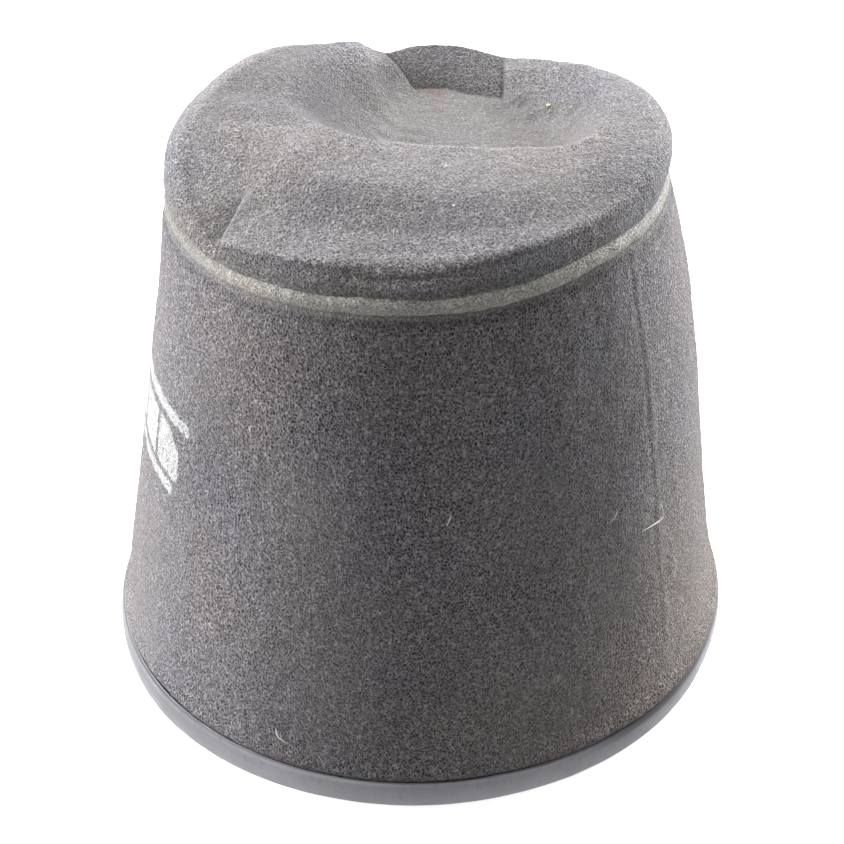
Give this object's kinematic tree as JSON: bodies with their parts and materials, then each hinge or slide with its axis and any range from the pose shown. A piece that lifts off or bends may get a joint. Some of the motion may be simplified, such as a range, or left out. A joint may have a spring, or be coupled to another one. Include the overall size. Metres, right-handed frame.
{
  "type": "air filter",
  "caption": "Tapered two-stage foam air filter on a moulded rubber base ring with an open outlet bore; a wire cage inside, and a closed foam top that has caved in.",
  "frame": {"origin": "on the filter's axis, in the plane that the base ring stands on", "axes": "+Z along the filter's axis, from the base to the closed foam top; -Y is the side seen from the front, and the outer sleeve's seam is between -Y and +X"},
  "size_m": [0.16, 0.16, 0.144],
  "materials": {
    "base_rubber": "satin",
    "outer_foam": "matte",
    "inner_foam": "matte",
    "adhesive": "satin",
    "cage_wire": "satin"
  },
  "bodies": {
    "root": {"base_ring": "base_rubber", "foot_bond_bead": "adhesive", "cage_foot_hoop": "cage_wire", "cage_hoop_1": "cage_wire", "cage_hoop_2": "cage_wire", "cage_hoop_3": "cage_wire", "cage_hoop_4": "cage_wire", "cage_hoop_5": "cage_wire", "cage_hoop_6": "cage_wire", "cage_hoop_7": "cage_wire", "cage_mouth_hoop": "cage_wire", "cage_uprights": "cage_wire", "inner_foam_sleeve": "inner_foam", "inner_sleeve_seam": "adhesive", "outer_foam_sleeve": "outer_foam", "outer_sleeve_seam": "adhesive", "inner_top_bond": "adhesive", "inner_foam_disc": "inner_foam", "outer_top_bead": "adhesive", "outer_foam_disc": "outer_foam"}
  },
  "joints": []
}
